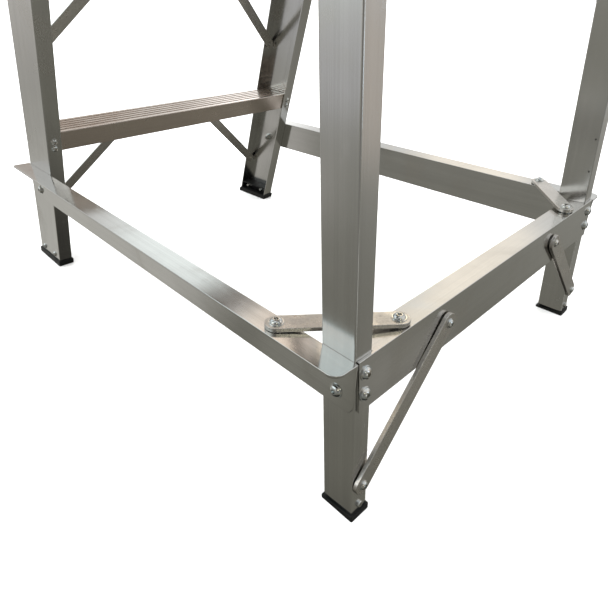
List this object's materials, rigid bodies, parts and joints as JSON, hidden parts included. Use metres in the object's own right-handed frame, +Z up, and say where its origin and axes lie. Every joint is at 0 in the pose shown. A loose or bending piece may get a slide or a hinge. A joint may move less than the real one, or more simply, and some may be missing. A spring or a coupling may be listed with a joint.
{
  "type": "work platform",
  "caption": "Bolted aluminium work platform: channel stiles with ribbed steps, tube rear legs, gusseted angle base frame, planked deck and a guardrail.",
  "frame": {"origin": "on the floor, in the middle of the whole object", "axes": "+X to the rear, the way the climber faces; +Y to the climber's left; +Z up"},
  "size_m": [0.9643, 0.684, 1.9145],
  "materials": {
    "mill_aluminium": "satin mill-finish extrusion with fine lengthwise lines",
    "tread_aluminium": "ribbed mill-finish extrusion, scuffed on the ribs",
    "flat_bar_aluminium": "dull rolled flat bar, finely speckled",
    "tube_aluminium": "satin drawn round tube",
    "bright_steel": "bright zinc-plated fasteners",
    "black_rubber": "moulded black rubber"
  },
  "bodies": {
    "root": {"base_rear_rail": "mill_aluminium", "deck_plank_1": "tread_aluminium", "deck_plank_2": "tread_aluminium", "deck_plank_3": "tread_aluminium", "deck_plank_4": "tread_aluminium", "deck_plank_5": "tread_aluminium", "deck_rear_rail": "mill_aluminium", "guard_bolts": "bright_steel", "guard_foot_caps": "black_rubber", "guard_nuts": "bright_steel", "guard_rail_plugs": "black_rubber", "guard_rail_screws": "bright_steel", "gusset_bolts": "bright_steel", "gusset_nuts": "bright_steel", "gusset_washers": "bright_steel", "left_base_side_rail": "mill_aluminium", "left_corner_gusset": "flat_bar_aluminium", "left_deck_side_rail": "mill_aluminium", "left_guard_hoop": "tube_aluminium", "left_rear_brace": "flat_bar_aluminium", "left_rear_leg": "mill_aluminium", "left_rear_leg_foot": "black_rubber", "left_side_knee_rail": "tube_aluminium", "left_step_tie_1": "flat_bar_aluminium", "left_step_tie_2": "flat_bar_aluminium", "left_stile": "mill_aluminium", "left_stile_foot": "black_rubber", "leg_foot_screws": "bright_steel", "leg_rivet_nuts": "bright_steel", "plank_rivets": "bright_steel", "rear_brace_bolts": "bright_steel", "rear_brace_nuts": "bright_steel", "rear_brace_sleeves": "bright_steel", "rear_brace_washers": "bright_steel", "rear_knee_rail": "tube_aluminium", "rear_rail_bolts": "bright_steel", "rear_top_rail": "tube_aluminium", "right_base_side_rail": "mill_aluminium", "right_corner_gusset": "flat_bar_aluminium", "right_deck_side_rail": "mill_aluminium", "right_guard_hoop": "tube_aluminium", "right_rear_brace": "flat_bar_aluminium", "right_rear_leg": "mill_aluminium", "right_rear_leg_foot": "black_rubber", "right_side_knee_rail": "tube_aluminium", "right_step_tie_1": "flat_bar_aluminium", "right_step_tie_2": "flat_bar_aluminium", "right_stile": "mill_aluminium", "right_stile_foot": "black_rubber", "side_rail_bolts": "bright_steel", "side_rail_nuts": "bright_steel", "step_1": "tread_aluminium", "step_2": "tread_aluminium", "step_bolts": "bright_steel", "step_nuts": "bright_steel", "stile_foot_bolts": "bright_steel", "stile_foot_nuts": "bright_steel", "tie_rivets": "bright_steel", "tie_spacers": "bright_steel"}
  },
  "joints": []
}
